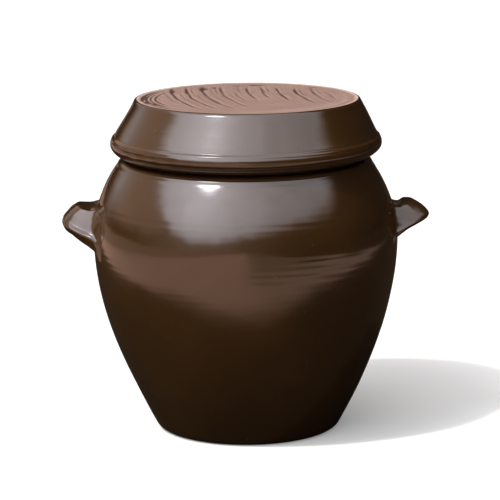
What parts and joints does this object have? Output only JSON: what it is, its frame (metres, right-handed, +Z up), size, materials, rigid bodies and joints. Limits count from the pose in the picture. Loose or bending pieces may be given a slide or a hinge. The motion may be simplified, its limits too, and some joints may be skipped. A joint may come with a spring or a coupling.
{
  "type": "storage jar with lid",
  "caption": "Large glazed earthenware storage jar with a swelling belly, two hooded lug handles and a heavy loose lid that sits over the rim.",
  "frame": {"origin": "centre of the jar's foot, on the surface that it stands on", "axes": "+Z up along the jar's axis, +X through the middle of the right handle, -Y towards the viewer"},
  "size_m": [0.4462, 0.372, 0.406],
  "materials": {
    "jar_body": "gloss",
    "left_handle": "gloss",
    "right_handle": "gloss",
    "lid": "gloss"
  },
  "bodies": {
    "jar": {"jar_body": "jar_body", "left_handle": "left_handle", "right_handle": "right_handle"},
    "lid": {"lid": "lid"}
  },
  "joints": [
    {"name": "lid_lift", "type": "slide", "parent": "jar", "child": "lid", "axis": [0, 0, 1], "range_m": [0, 0.15]}
  ]
}
